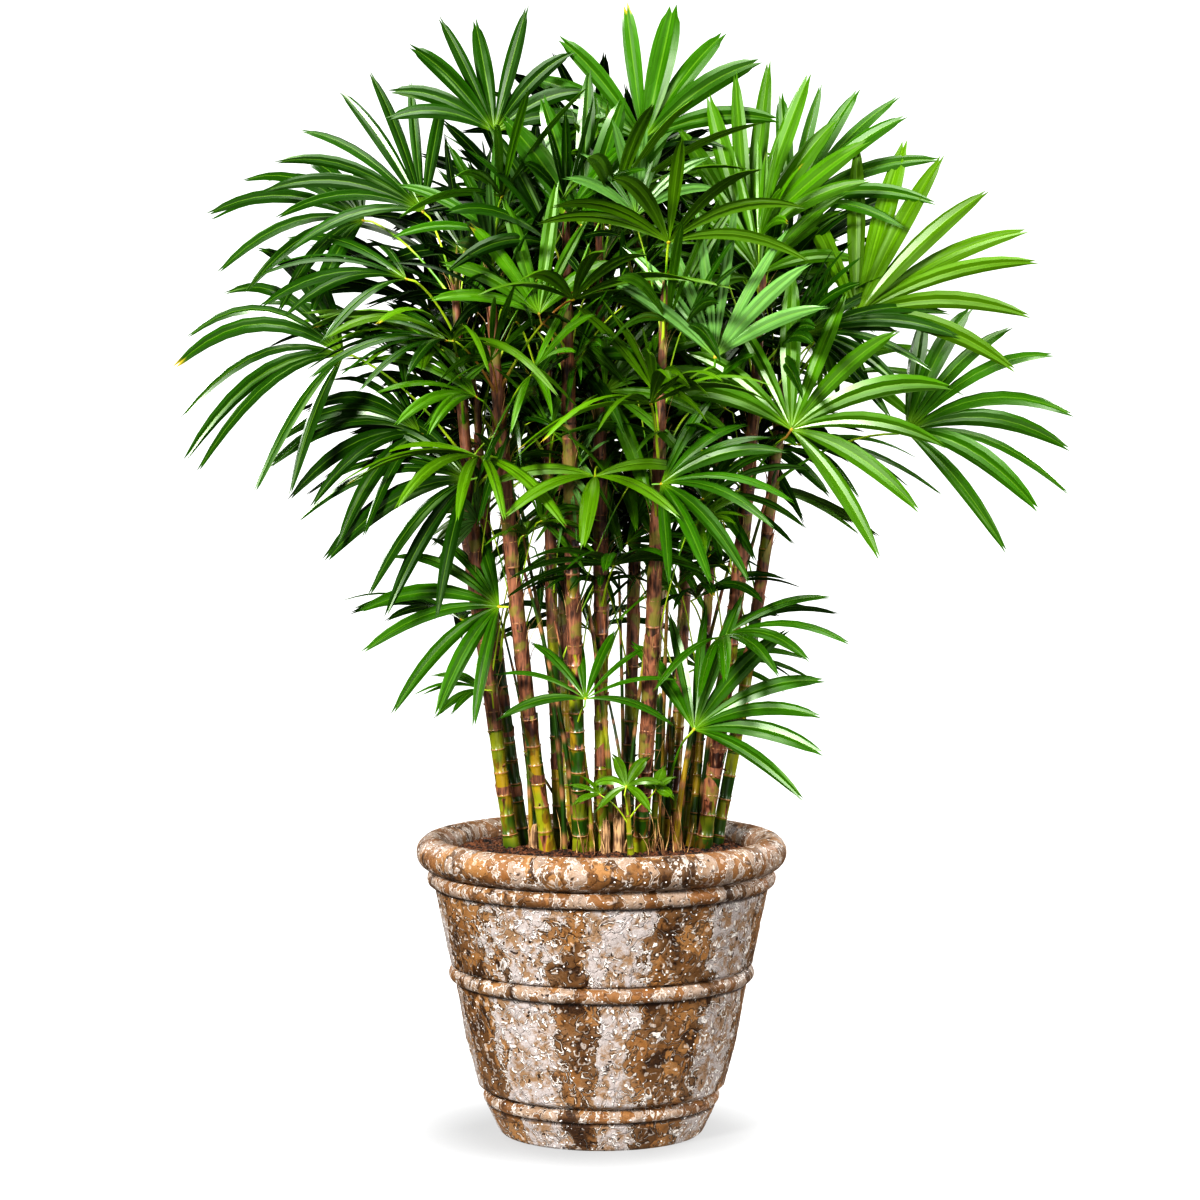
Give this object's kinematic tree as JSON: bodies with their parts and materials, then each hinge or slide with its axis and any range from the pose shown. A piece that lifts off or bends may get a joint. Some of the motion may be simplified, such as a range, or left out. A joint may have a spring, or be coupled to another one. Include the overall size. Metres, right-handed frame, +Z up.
{
  "type": "potted lady palm",
  "caption": "Clump-forming fan palm: slender ringed canes carry fan leaves on thin stalks, planted in a round banded clay pot with a rolled rim.",
  "frame": {"origin": "middle of the pot's flat underside", "axes": "+Z up along the pot's axis, +Y to the back of the plant, +X to the right seen from the front"},
  "size_m": [1.4375, 1.1076, 1.7736],
  "materials": {
    "glazed_clay": "satin",
    "potting_soil": "matte",
    "cane_bark": "satin",
    "dry_husk": "matte",
    "leaf_blade": "satin"
  },
  "bodies": {
    "root": {"pot": "glazed_clay", "soil": "potting_soil", "cane_01": "cane_bark", "cane_02": "cane_bark", "cane_03": "cane_bark", "cane_04": "cane_bark", "cane_05": "cane_bark", "cane_06": "cane_bark", "cane_07": "cane_bark", "cane_08": "cane_bark", "cane_09": "cane_bark", "cane_10": "cane_bark", "cane_11": "cane_bark", "cane_12": "cane_bark", "cane_13": "cane_bark", "cane_14": "cane_bark", "cane_15": "cane_bark", "cane_16": "cane_bark", "cane_17": "cane_bark", "cane_18": "cane_bark", "cane_19": "cane_bark", "cane_20": "cane_bark", "cane_21": "cane_bark", "stub_01": "dry_husk", "stub_02": "dry_husk", "stub_03": "dry_husk", "crown_01": "leaf_blade", "crown_02": "leaf_blade", "crown_03": "leaf_blade", "crown_04": "leaf_blade", "crown_05": "leaf_blade", "crown_06": "leaf_blade", "crown_07": "leaf_blade", "crown_08": "leaf_blade", "crown_09": "leaf_blade", "crown_10": "leaf_blade", "crown_11": "leaf_blade", "crown_12": "leaf_blade", "crown_13": "leaf_blade", "crown_14": "leaf_blade", "crown_15": "leaf_blade", "crown_16": "leaf_blade", "crown_17": "leaf_blade", "frond_01": "leaf_blade", "frond_02": "leaf_blade", "frond_03": "leaf_blade", "frond_04": "leaf_blade", "frond_05": "leaf_blade", "frond_06": "leaf_blade", "frond_07": "leaf_blade", "frond_08": "leaf_blade", "frond_09": "leaf_blade", "frond_10": "leaf_blade", "frond_11": "leaf_blade"}
  },
  "joints": []
}
